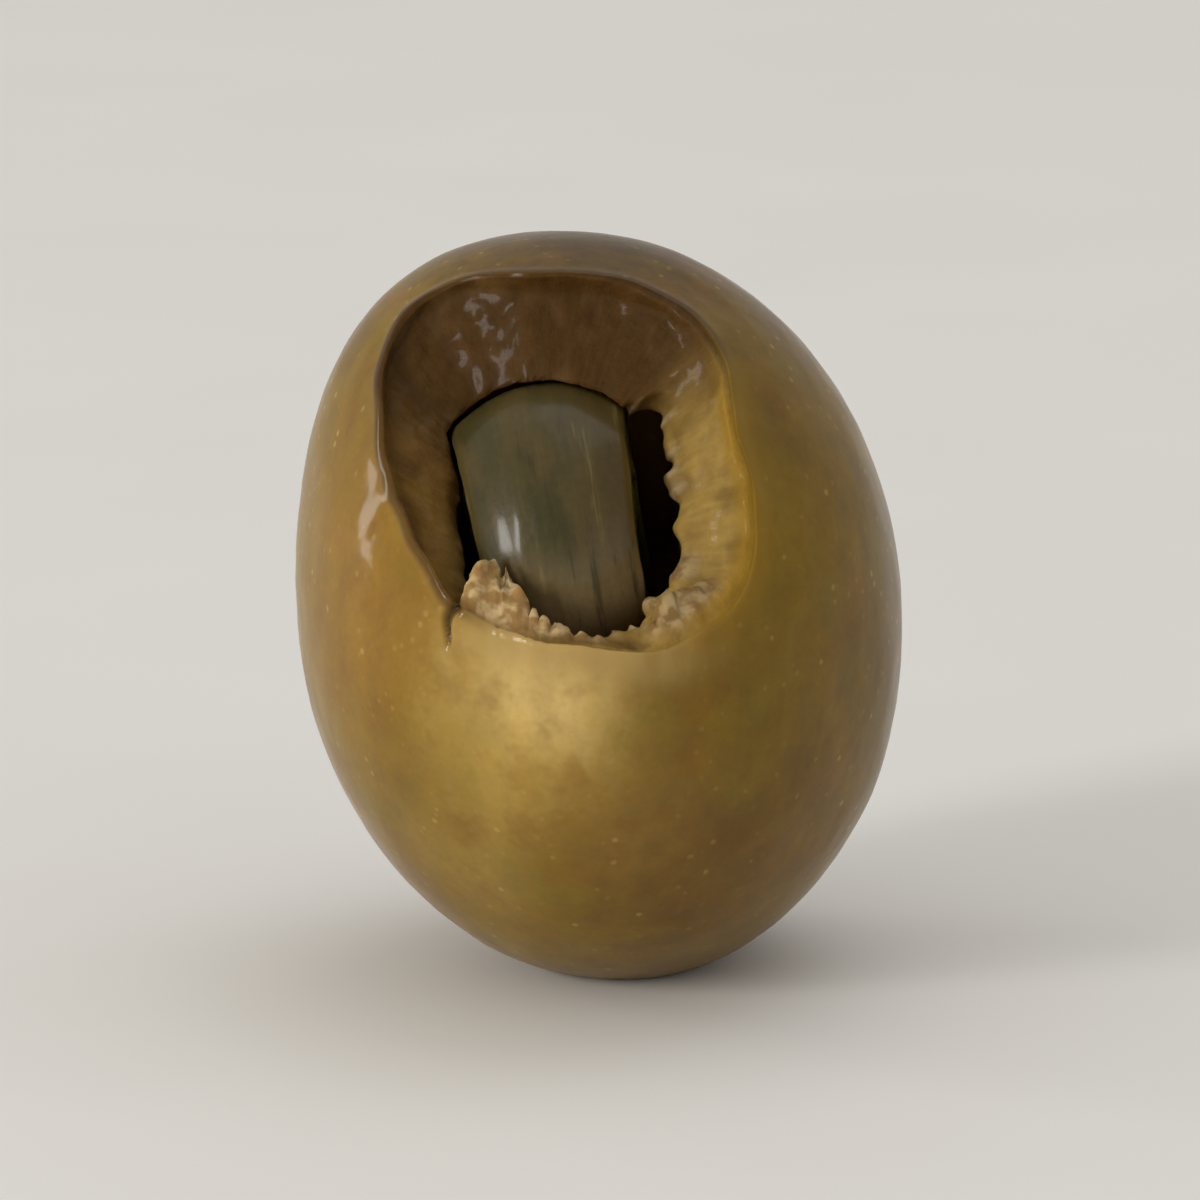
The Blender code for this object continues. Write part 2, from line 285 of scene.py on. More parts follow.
def smooth_step(value, low, high):
    """0 below low, 1 above high, and a soft S between them."""
    share = np.clip((value - low) / (high - low), 0.0, 1.0)
    return share * share * (3 - 2 * share)


def between(first, second, share):
    """What lies that share of the way from first to second."""
    return first + (second - first) * share


def bell(value, width):
    """1 at 0, and less and less to both sides: about a third at the width."""
    return np.exp(-((value / width) ** 2))


def unit(vectors):
    """The same vectors, made 1 long."""
    return vectors / np.maximum(np.linalg.norm(vectors, axis=-1, keepdims=True), 1e-9)


def on_ring(angle):
    """The points of a circle at these angles, where noise closes on itself."""
    return np.stack([np.cos(angle), np.sin(angle), 0 * angle], axis=-1)


def turn_between(angle, other):
    """The smallest turn from other to angle, in radians."""
    return (angle - other + math.pi) % (2 * math.pi) - math.pi


def soft_noise(points, size, seed):
    """Smooth noise from about -1 to 1 at each point, with features of that size."""
    shifted = (points / size + seed * SEED_STEP).reshape(-1, 3)
    values = np.array([noise.noise(Vector(point)) for point in shifted])
    return values.reshape(points.shape[:-1])


def uneven_shares(count, stops):
    """Shares from 0 to 1, whose steps have the relative sizes given by (share, size) stops."""
    along, sizes = np.array(stops).T
    steps = np.interp(np.linspace(0, 1, count - 1), along, sizes)
    return np.concatenate([[0.0], np.cumsum(steps)]) / steps.sum()


def stand(points):
    """Points of the fruit's own frame, in millimetres, in the frame that it stands in, in millimetres."""
    lean_back = Matrix.Rotation(math.pi / 2 - MOUTH_ELEVATION, 3, "X")
    lean_aside = Matrix.Rotation(LEAN_TO_THE_SIDE, 3, "Z")
    return points @ np.array(lean_back @ lean_aside).T + np.array(FRUIT_CENTRE)


def settle(standing):
    """Presses what would lie below the floor up to it, with a soft edge round the flat spot."""
    height = standing[..., 2]
    standing[..., 2] = (height + np.sqrt(height**2 + SETTLED_EDGE**2)) / 2
    return standing


def lumps(direction):
    """The low swellings that make a real fruit a little uneven, from -1 to 1."""
    x, y, z = np.moveaxis(direction, -1, 0)
    broad = np.sin(2.3 * x + 1.1 * y + 0.7) * np.cos(2.1 * y - 1.7 * z + 0.4)
    small = np.sin(5.1 * x - 3.7 * z + 1.9) * np.cos(4.3 * y + 2.9 * x)
    return 0.7 * broad + 0.3 * small


def crease(point):
    """How deep the crease is at a point of the skin."""
    x, y, z = np.moveaxis(point, -1, 0)
    out_x, out_y = math.cos(CREASE_ANGLE), math.sin(CREASE_ANGLE)
    aside = x * out_y - y * out_x
    depth = CREASE_DEPTH * smooth_step(z, *CREASE_RUN) * bell(aside, CREASE_WIDTH)
    return np.where(x * out_x + y * out_y > 0, depth, 0.0)


def shoulder(direction):
    """How far the fuller shoulder at the stalk end stands out in each direction."""
    away = np.arccos(np.clip(direction @ unit(SHOULDER_DIRECTION), -1, 1))
    return SHOULDER_HEIGHT * bell(away, SHOULDER_SPREAD)


def skin_at(direction):
    """Where the skin lies in each direction from the fruit's centre."""
    point = direction * FRUIT_HALF
    point[..., :2] *= 1 + MOUTH_END_FULLNESS * direction[..., 2:]
    swelling = LUMP_HEIGHT * lumps(direction) + shoulder(direction) - crease(point)
    return point + direction * swelling[..., None]


def direction_of(point):
    """The direction whose skin lies over each point."""
    upwards = point[..., 2:] / FRUIT_HALF[2]
    for _ in range(4):
        scaled = point / FRUIT_HALF
        scaled[..., :2] /= 1 + MOUTH_END_FULLNESS * upwards
        direction = unit(scaled)
        upwards = direction[..., 2:]
    return direction


def ragged(angle):
    """The uneven edge of torn flesh, from about -1 to 1 round the mouth."""
    return sum(height * np.sin(count * angle + phase) for count, phase, height in RAGGED_WAVES)


def swells(angle, places):
    """How high each of the swells round the mouth stands at each angle: a row of heights for each place."""
    heights = []
    for middle, height, spread in places:
        away = turn_between(angle, math.radians(middle))
        heights.append(height * bell(away, math.radians(spread)))
    return np.array(heights)


def fine_tears(angle, level):
    """How far the fine pointed tears reach into the hole, just at the throat's upper edge."""
    wander = soft_noise(on_ring(angle), FINE_TEARS_SPACING, 21)
    ridges = np.clip(1 - FINE_TEARS_SHARPNESS * np.abs(wander), 0, 1)
    strength = between(0.35, 1.0, smooth_step(np.cos(angle + 0.4), -0.2, 0.8))
    return FINE_TEARS * ridges * strength * bell(level - FINE_TEARS_LEVEL, FINE_TEARS_THICKNESS)


def torn_lip(angle, below_rim):
    """How far the torn lip along the lower side reaches over the mouth."""
    directions, reaches = np.array(TORN_LIP).T
    reach = np.interp(np.degrees(angle), directions, reaches)
    ring = on_ring(angle)
    waves = 0.25 * soft_noise(ring, 0.16, 24) + 0.10 * soft_noise(ring, 0.04, 25)
    notches = 0.30 * bell(soft_noise(ring, 0.10, 22), 0.10)
    thickness = bell(below_rim - TORN_LIP_BELOW_RIM, TORN_LIP_THICKNESS)
    return reach * (1 + waves - notches) * thickness


def pressed_flesh(angle, height, below_rim):
    """How far the flesh may stand in where the strip presses against it."""
    directions, amounts = np.array(PRESSED_FLESH).T
    (start, full), (full_end, end) = PRESSED_HEIGHTS
    at_height = smooth_step(height, start, full) * (1 - smooth_step(height, full_end, end))
    below = smooth_step(below_rim, *PRESSED_BELOW_RIM)
    return np.interp(np.degrees(angle), directions, amounts, period=360) * at_height * below


def turned(x, y, turn):
    """x and y after a turn about the pit's axis."""
    return x * np.cos(turn) - y * np.sin(turn), x * np.sin(turn) + y * np.cos(turn)


def hole_wall(angle, level):
    """Points of the hole's wall, as the pit and the stuffing left it.

    The levels are the points' heights before the lip's drops lower them.
    """
    to_throat = smooth_step(level, *PIT_TO_THROAT)
    to_lip = smooth_step(level, *THROAT_TO_LIP)
    in_throat = to_throat * (1 - to_lip)
    outline = between(PIT_OUTLINE, THROAT_OUTLINE, to_throat[..., None])
    outline = between(outline, LIP_OUTLINE, to_lip[..., None])
    middle_x, middle_y, half_width, half_depth = np.moveaxis(outline, -1, 0)
    half_width = half_width * (1 + HOLE_TAPER * np.sin(angle))
    squareness = between(HOLE_SQUARENESS, LIP_SQUARENESS, to_lip)
    reach = (np.abs(np.cos(angle)) ** squareness + np.abs(np.sin(angle)) ** squareness) ** (-1 / squareness)
    teeth = swells(angle, TORN_TEETH).max(axis=0)
    torn = (RAGGED_THROAT * ragged(angle) - teeth) * in_throat
    torn = torn + (RAGGED_LIP * ragged(angle + 1.3) + swells(angle, LIP_SWELLS).sum(axis=0)) * to_lip
    x = (half_width * reach + torn) * np.cos(angle)
    y = (half_depth * reach + torn) * np.sin(angle)
    x, y = turned(x, y, STUFFING_TURN * in_throat)
    drop = swells(angle, LIP_DROPS).sum(axis=0) * smooth_step(level, DROP_STARTS, THROAT_TO_LIP[0])
    return np.stack([middle_x + x, middle_y + y, level - drop + 0 * x], axis=-1)


def strip_clearance(points):
    """Roughly how far points lie outside the strip's skin or its sides; below 0 inside it."""
    x, y, z = np.moveaxis(points, -1, 0)
    across, deep = turned(x - STRIP_SIDE_SHIFT, y - FOLD_CENTRE[0], -STUFFING_TURN)
    half_width = STRIP_HALF_WIDTH * (1 + STRIP_TAPER * deep / FOLD_HALF_DEPTH)
    high = np.maximum(z - FOLD_CENTRE[1], 0)
    size = (np.abs(deep) / FOLD_HALF_DEPTH) ** FOLD_SQUARENESS + (high / FOLD_RISE) ** FOLD_SQUARENESS
    beyond = np.hypot(deep, high) * (1 - np.maximum(size, 1e-6) ** (-1 / FOLD_SQUARENESS))
    beyond = beyond + STRIP_CROWN * (across / half_width) ** 2
    return np.maximum(beyond, np.abs(across) - half_width)


def free_reach(rows, inwards, wanted):
    """How much of the wanted move inwards each point can make before it lies close to the strip."""
    low, high = np.zeros(wanted.shape), wanted.copy()
    for _ in range(12):
        middle = (low + high) / 2
        free = strip_clearance(rows + inwards * middle[..., None]) > CONTACT_GAP
        low, high = np.where(free, middle, low), np.where(free, high, middle)
    return low


def rim_levels(angle):
    """The level at which the hole's wall comes out through the skin, all round."""
    low, high = (np.full(angle.shape, limit) for limit in RIM_SEARCH)
    for _ in range(30):
        middle = (low + high) / 2
        wall = hole_wall(angle, middle)
        skin = skin_at(direction_of(wall))
        outside = np.linalg.norm(wall, axis=-1) > np.linalg.norm(skin, axis=-1)
        low, high = np.where(outside, low, middle), np.where(outside, middle, high)
    return (low + high) / 2


def turns_round_the_mouth():
    """The angles of the grid's columns, which stand closer together where the lip is torn."""
    fine = np.linspace(0, 360, 3600, endpoint=False)
    start, end = CLOSER_TOGETHER
    outer, inner = CLOSER_FADE
    begun = smooth_step(fine, start - outer, start + inner)
    ended = smooth_step(fine, end - inner, end + outer)
    density = 1 + CLOSER_BY * begun * (1 - ended)
    share = np.cumsum(density) / density.sum()
    return np.radians(np.interp(np.arange(AROUND) / AROUND, share, fine))


def skin_rows(angle, rim):
    """Rows of skin points, from the tip up to the mouth's rim."""
    start = direction_of(rim)
    polar = np.arccos(start[:, 2])
    around = np.arctan2(start[:, 1], start[:, 0])
    share = 1 - uneven_shares(SKIN_ROWS + 1, SKIN_ROW_STEPS)[1:, None]
    theta = between(polar, math.pi, share)
    phi = around + turn_between(angle, around) * smooth_step(share, 0, 1)
    flat = np.sin(theta)
    return skin_at(np.stack([flat * np.cos(phi), flat * np.sin(phi), np.cos(theta)], axis=-1))


def hollow_end(angle):
    """Rows of points that close the hollow with a rounded end, and their levels."""
    turn = (math.pi / 2) * (np.arange(1, END_ROWS + 1) / (END_ROWS + 0.6))[:, None]
    level = between(PIT_WALL_STARTS, PIT_BOTTOM, np.sin(turn)) + 0 * angle
    rows = hole_wall(angle[None, :], np.full(level.shape, PIT_WALL_STARTS))
    rows[..., :2] = between(PIT_OUTLINE[:2], rows[..., :2], np.cos(turn)[..., None])
    rows[..., 2] = level
    return rows, level


def wall_rows(angle, rim_level):
    """Rows of wall points, from just below the rim down to the end of the hollow.

    With them come their levels, and how far the torn lip carries each of them.
    """
    share = uneven_shares(WALL_ROWS + 1, WALL_ROW_STEPS)[1:, None]
    level = between(rim_level, PIT_WALL_STARTS, share)
    rows = hole_wall(angle[None, :], level)
    inwards = unit((rows.mean(axis=1, keepdims=True) - rows) * (1, 1, 0))
    lip = torn_lip(angle, rim_level - level)
    wanted = pressed_flesh(angle, rows[..., 2], rim_level - level)
    rows = rows + inwards * free_reach(rows, inwards, wanted)[..., None]
    rows = rows + inwards * fine_tears(angle, level)[..., None]
    rows[..., 1] += lip
    rows[..., 2] += lip * (TORN_LIP_CURL + TORN_LIP_CRUMPLE * soft_noise(rows, 0.8, 23))
    end, end_level = hollow_end(angle)
    lip = np.concatenate([lip, np.zeros(end_level.shape)])
    return np.concatenate([rows, end]), np.concatenate([level, end_level]), lip


def grid_normals(grid):
    """Outward normals of a grid that closes on itself from its last column to its first."""
    across = np.roll(grid, -1, axis=1) - np.roll(grid, 1, axis=1)
    along = np.gradient(grid, axis=0)
    return unit(np.cross(across, along))


def smoothed_across(grid, middle_row, rows, passes):
    """The grid with its corner along the middle row worn round over that many rows to each side."""
    grid = grid.copy()
    part = slice(middle_row - rows, middle_row + rows + 1)
    before, after = slice(part.start - 1, part.stop - 1), slice(part.start + 1, part.stop + 1)
    for _ in range(passes):
        grid[part] = grid[part] * 0.5 + (grid[before] + grid[after]) * 0.25
    return grid


def round_the_rim(grid, rim_row, angle):
    """A crisp small edge on the mouth's left side, and a full rounded lip on its right side."""
    crisp = smoothed_across(grid, rim_row, *CRISP_EDGE)
    full = smoothed_across(grid, rim_row, *FULL_LIP)
    fullness = smooth_step(np.cos(angle - 0.1), -0.1, 0.8)
    return between(crisp, full, fullness[None, :, None])


def needle_cuts(grid):
    """How deep the crossed cuts at the tip are at each point, and how open they lie there."""
    x, y = grid[..., 0], grid[..., 1]
    deepest = np.zeros(x.shape)
    lips = np.zeros(x.shape)
    for degrees, length in NEEDLE_CUT_ARMS:
        direction = math.radians(degrees)
        along = x * math.cos(direction) + y * math.sin(direction)
        aside = np.abs(y * math.cos(direction) - x * math.sin(direction))
        taper = np.sqrt(np.clip(1 - (along / length) ** 2, 0, 1)) * (along > -NEEDLE_CUT_HALF_WIDTH)
        half_width = NEEDLE_CUT_HALF_WIDTH * taper + 1e-6
        deepest = np.maximum(deepest, taper * np.clip(1 - aside / half_width, 0, 1) ** 0.6)
        lips = np.maximum(lips, taper * bell(aside - half_width, NEEDLE_CUT_LIP_WIDTH))
    at_tip = grid[..., 2] < 0
    return deepest * at_tip, lips * at_tip


def skin_relief(points, angle, from_rim):
    """How far the skin stands out or in: soft swellings, small dimples and the puckers round the mouth."""
    relief = sum(height * soft_noise(points, size, seed) for height, size, seed in SKIN_RELIEF)
    puckers = soft_noise(on_ring(angle) * 7.5, 1.35, 3)[None, :] * np.exp(-from_rim / PUCKER_REACH)
    return relief + PUCKER_HEIGHT * puckers + ROLLED_EDGE_HEIGHT * bell(from_rim, ROLLED_EDGE_WIDTH)


def split(grid, angle, from_rim, is_wall):
    """How open the split beside the tongue is, from 0 to 1: it runs over the rim and ends in a point."""
    from_axis = np.hypot(grid[..., 0], grid[..., 1])
    wander = 0.25 * np.sin(from_rim * 2.6)
    aside = turn_between(angle, SPLIT_ANGLE)[None, :] * from_axis + wander
    left_over = np.clip(1 - from_rim / SPLIT_RUN, 0, 1)
    half_width = SPLIT_HALF_WIDTH * (0.4 + 0.8 * left_over)
    return bell(aside, half_width) * smooth_step(left_over, 0.0, 0.35 - 0.2 * is_wall)


def flesh_relief(points, angle, from_rim):
    """How far the cut flesh stands out or in: folds and fibres that run down the wall, and soft pulp."""
    folds = soft_noise(on_ring(angle)[None] * 7 + points * 0.12, 1.5, 8)
    fibres = soft_noise(points * np.array((1.0, 1.0, 0.16)), 0.55, 5)
    pulp = soft_noise(points, 0.9, 6)
    clear_of_strip = smooth_step(strip_clearance(points), 0.25, 1.2)
    relief = FLESH_FIBRES * fibres + FLESH_PULP * pulp + FLESH_FOLDS * folds * clear_of_strip
    return relief * smooth_step(from_rim, 0.0, 0.5)


def closed_tube(grid, first_pole, last_pole):
    """Vertices and faces of a grid that is closed round its columns, and at each end by a fan to a pole."""
    rows, columns = grid.shape[:2]
    vertices = np.concatenate([grid.reshape(-1, 3), [first_pole, last_pole]])
    index = np.arange(rows * columns).reshape(rows, columns)
    after = np.roll(index, -1, axis=1)
    quads = np.stack([index[:-1], after[:-1], after[1:], index[1:]], axis=-1).reshape(-1, 4)
    first, last = rows * columns, rows * columns + 1
    faces = quads.tolist()
    faces += [(first, b, a) for a, b in zip(index[0].tolist(), after[0].tolist())]
    faces += [(last, a, b) for a, b in zip(index[-1].tolist(), after[-1].tolist())]
    return vertices, faces


def in_scene(name, data):
    """A new object in the scene, made from a mesh, a camera or a lamp."""
    made = bpy.data.objects.new(name, data)
    bpy.context.scene.collection.objects.link(made)
    return made


def new_piece(name, grid, poles, marks, material, node):
    """A smooth closed piece made from a grid, with a named value at each point for its material to read."""
    vertices, faces = closed_tube(grid, *poles)
    mesh = bpy.data.meshes.new(name)
    mesh.from_pydata((vertices * MM).tolist(), [], faces)
    mesh.shade_smooth()
    for mark, values in marks.items():
        attribute = mesh.attributes.new(mark, "FLOAT", "POINT")
        ends = (values[0].mean(), values[-1].mean())
        attribute.data.foreach_set("value", np.concatenate([values.ravel(), ends]).astype(np.float32))
    mesh.materials.append(material)
    piece = in_scene(name, mesh)
    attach(piece, "root")
    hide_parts(node)


def make_olive(material):
    """The olive: its skin, from the needle's cuts at the tip to the rim, and the torn flesh inside."""
    angle = turns_round_the_mouth()
    rim_level = rim_levels(angle)
    skin = skin_rows(angle, hole_wall(angle, rim_level))
    wall, wall_level, wall_lip = wall_rows(angle, rim_level)
    grid = round_the_rim(np.concatenate([skin, wall]), SKIN_ROWS - 1, angle)
    level = np.concatenate([np.full(skin.shape[:2], OUTSIDE_LEVEL), wall_level])
    lip = np.concatenate([np.zeros(skin.shape[:2]), wall_lip])

    steps = np.linalg.norm(np.diff(grid, axis=0), axis=-1)
    run = np.concatenate([np.zeros((1, AROUND)), np.cumsum(steps, axis=0)])
    from_rim = np.abs(run - run[SKIN_ROWS - 1])
    is_wall = (np.arange(len(grid)) >= SKIN_ROWS)[:, None]

    cut, lips = needle_cuts(grid)
    opened = split(grid, angle, from_rim, is_wall)
    creased = crease(grid) / CREASE_DEPTH * ~is_wall
    dimple = bell(np.linalg.norm(grid[..., :2], axis=-1), NEEDLE_DIMPLE_WIDTH) * ~is_wall
    relief = np.where(is_wall, flesh_relief(grid, angle, from_rim), skin_relief(grid, angle, from_rim))
    relief += NEEDLE_CUT_LIP * lips * (1 - cut) - NEEDLE_DIMPLE * dimple
    relief += TORN_LIP_PULP * smooth_step(lip, 0.1, 0.8) * soft_noise(grid, 0.5, 7)
    relief -= SPLIT_DEPTH * opened
    grid = grid + grid_normals(grid) * relief[..., None]
    grid[..., 2] += NEEDLE_CUT_DEPTH * cut

    torn = np.maximum(smooth_step(lip, 0.1, 0.7), smooth_step(fine_tears(angle, level), 0.05, 0.25))
    torn_edge = smooth_step(lip / np.maximum(lip.max(axis=0), 0.3), 0.75, 1.0)
    everywhere = np.ones(level.shape)
    marks = {
        "flesh": np.maximum(is_wall * everywhere, smooth_step(cut, 0.02, 0.25)),
        "from_rim": from_rim,
        "torn": torn * is_wall,
        "torn_edge": torn_edge * is_wall,
        "pit": np.where(is_wall, 1 - smooth_step(level, 4.0, 11.8), 0.0),
        "right": np.cos(angle) * everywhere,
        "upper": np.sin(angle) * everywhere,
        "crease": creased,
        "split": opened,
        "cut": cut,
    }
    tip = grid[0].mean(axis=0)
    tip[2] = grid[0, :, 2].max()
    pit_end = np.array((*PIT_OUTLINE[:2], PIT_BOTTOM))
    poles = settle(stand(np.array([tip, pit_end])))
    grid = settle(stand(grid))
    new_piece("pitted_olive", grid, poles, marks, material, "olive")


def fold_path():
    """Points (y, z) along the strip's skin at even steps, and how far along each one lies."""
    leg = np.linspace(0, 1, LEG_STEPS, endpoint=False)
    centre_y, centre_z = FOLD_CENTRE

    def leg_points(side, end):
        z = between(end, centre_z, leg)
        spread = smooth_step(z, LEG_PINCH_Z, centre_z)
        half = between(LEG_HALF_SPREAD, FOLD_HALF_DEPTH, spread)
        return np.stack([centre_y * spread + side * half, z], axis=-1)

    turn = np.linspace(math.pi, 0, FOLD_STEPS)
    power = 2 / FOLD_SQUARENESS
    y = np.sign(np.cos(turn)) * np.abs(np.cos(turn)) ** power
    z = np.clip(np.sin(turn), 0, 1) ** power
    fold = np.stack([centre_y + FOLD_HALF_DEPTH * y, centre_z + FOLD_RISE * z], axis=-1)
    points = np.concatenate([leg_points(-1, FRONT_LEG_END_Z), fold, leg_points(1, BACK_LEG_END_Z)[::-1]])
    run = np.concatenate([[0], np.cumsum(np.linalg.norm(np.diff(points, axis=0), axis=-1))])
    even = np.linspace(0, run[-1], STRIP_ROWS)
    return np.stack([np.interp(even, run, points[:, 0]), np.interp(even, run, points[:, 1])], axis=-1), even


def rounded_loop(half_width, thickness, corner):
    """A rounded rectangle's points (x, depth), from the left end of the skin side across and back round."""
    side = half_width - corner
    deep = thickness - corner
    skin = [(x, 0.0) for x in np.linspace(-side, side, STRIP_SKIN_POINTS)]
    right = [(half_width, depth) for depth in np.linspace(corner, deep, STRIP_SIDE_POINTS)]
    inner = [(x, thickness) for x in np.linspace(side, -side, STRIP_INNER_POINTS)]
    left = [(-half_width, depth) for depth in np.linspace(deep, corner, STRIP_SIDE_POINTS)]
    arc = np.linspace(0, math.pi / 2, STRIP_CORNER_POINTS + 2)[1:-1]
    corners = []
    for quarter, (x, depth) in enumerate(((side, corner), (side, deep), (-side, deep), (-side, corner))):
        turns = arc + quarter * math.pi / 2
        corners.append([(x + corner * math.sin(turn), depth - corner * math.cos(turn)) for turn in turns])
    return np.array(skin + corners[0] + right + corners[1] + inner + corners[2] + left + corners[3])


def make_strip(material):
    """The folded pepper strip: shiny skin outwards, paler cut flesh at its sides and ends."""
    path, run = fold_path()
    along = unit(np.gradient(path, axis=0))
    outward = np.stack([-along[:, 1], along[:, 0]], axis=-1)
    loop = rounded_loop(STRIP_HALF_WIDTH, STRIP_THICKNESS, STRIP_CORNER)
    across, depth = loop[None, :, 0], loop[None, :, 1]

    end_round = (1 - 0.06 * bell(np.minimum(run, run[-1] - run), 0.35))[:, None]
    taper = 1 + STRIP_TAPER * (path[:, :1] - FOLD_CENTRE[0]) / FOLD_HALF_DEPTH
    wavy = run[:, None] * (1, 0, 0)
    left, right = (soft_noise(wavy, 3.1, seed)[:, None] * STRIP_EDGE_WAVE for seed in (11, 12))
    sunken = STRIP_SUNKEN_SIDE * np.sin(math.pi * np.clip(depth / STRIP_THICKNESS, 0, 1)) ** 0.8
    share = across / STRIP_HALF_WIDTH
    is_side = smooth_step(np.abs(share), 0.90, 1.0)
    x = across * taper * end_round + np.where(share < 0, left, right) * np.abs(share)
    x = x - np.sign(share) * sunken * is_side
    down = depth + STRIP_CROWN * share**2

    y = path[:, :1] - outward[:, :1] * down
    z = path[:, 1:] - outward[:, 1:] * down
    x, y = turned(x, y - FOLD_CENTRE[0], STUFFING_TURN)
    grid = np.stack([STRIP_SIDE_SHIFT + x, FOLD_CENTRE[0] + y, z], axis=-1)
    unrolled = np.stack(np.broadcast_arrays(across, run[:, None], depth), axis=-1)
    on_skin = 1 - smooth_step(unrolled[..., 2], 0.05, 0.30)
    streaks = soft_noise(unrolled * np.array((1.0, 0.12, 1.0)), 0.55, 13)
    dents = soft_noise(unrolled * np.array((1.0, 0.6, 1.0)), 1.7, 14)
    fibres = soft_noise(unrolled * np.array((1.0, 0.3, 1.0)), 0.5, 15)
    relief = between(STRIP_CUT_FIBRES * fibres, STRIP_STREAKS * streaks + STRIP_DENTS * dents, on_skin)
    grid = grid - grid_normals(grid) * relief[..., None]

    marks = {
        "skin": on_skin,
        "across": unrolled[..., 0],
        "along": unrolled[..., 1],
        "depth": unrolled[..., 2],
    }
    grid = stand(grid)[:, ::-1]
    marks = {name: values[:, ::-1] for name, values in marks.items()}
    poles = (grid[0].mean(axis=0), grid[-1].mean(axis=0))
    new_piece("pepper_strip", grid, poles, marks, material, "jalapeno_strip")


class Wire:
    """A value that runs from one shader node to the next, and that can be used in sums as a number can."""

    def __init__(self, finish, socket):
        self.finish = finish
        self.socket = socket

    def maths(self, operation, first, second):
        """A Math node that works on two values, each a wire or a number."""
        return self.finish.node("Math", {"operation": operation}, {0: first, 1: second})

    def __add__(self, other):
        return self.maths("ADD", self, other)

    def __radd__(self, other):
        return self.maths("ADD", other, self)

    def __sub__(self, other):
        return self.maths("SUBTRACT", self, other)

    def __rsub__(self, other):
        return self.maths("SUBTRACT", other, self)

    def __mul__(self, other):
        return self.maths("MULTIPLY", self, other)

    def __rmul__(self, other):
        return self.maths("MULTIPLY", other, self)


class Finish:
    """A material while it is being made: its nodes, and the shader that they feed."""

    def __init__(self, name, **fixed):
        self.material = bpy.data.materials.new(name)
        self.material.use_nodes = True
        self.tree = self.material.node_tree
        self.tree.nodes.clear()
        self.shader = self.tree.nodes.new("ShaderNodeBsdfPrincipled")
        output = self.tree.nodes.new("ShaderNodeOutputMaterial")
        self.tree.links.new(self.shader.outputs[0], output.inputs["Surface"])
        for socket, value in fixed.items():
            self.feed(socket.replace("_", " "), value)

    def feed(self, name, value, node=None):
        """Sets a socket to a value, or links what runs along a wire to it."""
        socket = (node or self.shader).inputs[name]
        if isinstance(value, Wire):
            self.tree.links.new(value.socket, socket)
        else:
            socket.default_value = value

    def node(self, kind, settings=None, sockets=None, output=0):
        """A node of that kind, with its settings made first, and the wire that leaves it."""
        made = self.tree.nodes.new("ShaderNode" + kind)
        for name, value in (settings or {}).items():
            setattr(made, name, value)
        for name, value in (sockets or {}).items():
            self.feed(name, value, made)
        return Wire(self, made.outputs[output])

    def mark(self, name):
        """One of the values that the piece carries at its points."""
        return self.node("Attribute", {"attribute_name": name}, output="Fac")

    def position(self):
        """The place on the piece, in metres."""
        return self.node("TexCoord", output="Object")

    def stretched(self, vector, scale):
        """A place whose parts are each scaled by a number of their own."""
        return self.node("VectorMath", {"operation": "MULTIPLY"}, {0: vector, 1: scale})

    def grain(self, vector, size, detail=3.0, roughness=0.5):
        """Soft noise from 0 to 1, with features of that many metres."""
        sockets = {"Vector": vector, "Scale": 1 / size, "Detail": detail, "Roughness": roughness}
        return self.node("TexNoise", None, sockets)

    def cells(self, vector, size):
        """How far each point is from the nearest of many scattered spots, in shares of their spacing."""
        return self.node("TexVoronoi", None, {"Vector": vector, "Scale": 1 / size})

    def soft(self, value, low, high):
        """0 below low, 1 above high and soft between; the other way round if low is the larger."""
        sockets = {"Value": value, "From Min": low, "From Max": high}
        return self.node("MapRange", {"interpolation_type": "SMOOTHSTEP"}, sockets)

    def blend(self, mask, first, second):
        """The colour that lies between first, where the mask is 0, and second, where it is 1."""
        return self.node("Mix", {"data_type": "RGBA"}, {0: mask, 6: first, 7: second}, 2)

    def shade(self, colour, strength):
        """A colour made darker or lighter by a factor."""
        return self.node("VectorMath", {"operation": "SCALE"}, {0: colour, "Scale": strength})

    def cured(self, colour):
        """A colour as curing has left it."""
        return self.node("VectorMath", {"operation": "MULTIPLY"}, {0: colour, 1: CURED})

    def bump(self, height, strength, distance):
        """Relief that is finer than the mesh, up to that many metres high."""
        return self.node("Bump", None, {"Height": height, "Strength": strength, "Distance": distance})


def paint(red, green, blue):
    """A screen colour, 0 to 255 a channel, as the light that it stands for."""
    channels = [value / 255 for value in (red, green, blue)]
    linear = [c / 12.92 if c < 0.04045 else ((c + 0.055) / 1.055) ** 2.4 for c in channels]
    return (*linear, 1.0)


def patch(finish, place, centre, radius, ragged_edge):
    """A soft uneven patch round a point, given in millimetres: 1 in its middle and 0 outside."""
    spot = tuple(value * MM for value in centre)
    away = finish.node("VectorMath", {"operation": "DISTANCE"}, {0: place, 1: spot}, "Value")
    uneven = away * (1 / (radius * MM)) + (ragged_edge - 0.5) * PATCH_RAGGEDNESS
    return finish.soft(uneven, 1.15, 0.2)


# The colours of the olive, before curing
SKIN_GOLD = paint(150, 118, 39)
SKIN_BROWN = paint(120, 90, 38)
SKIN_CREASE = paint(186, 156, 90)
SKIN_RUSSET = paint(150, 104, 40)
SKIN_GREENISH = paint(146, 132, 46)
SKIN_PORE = paint(206, 180, 112)
# Painted shade: a dark line along the rim's left and top, and on the flesh at the top of the mouth
RIM_PAINTED_SHADE = paint(88, 60, 26)
RIM_PALE = paint(206, 174, 118)
# Partly the yellow of the skin's cut edge, partly a painted highlight where the rounded right lip catches
# light
RIM_RIDGE_HIGHLIGHT = paint(176, 136, 34)
# Painted shade: the dark inside of the split beside the tongue
SPLIT_SHADE = paint(66, 42, 20)
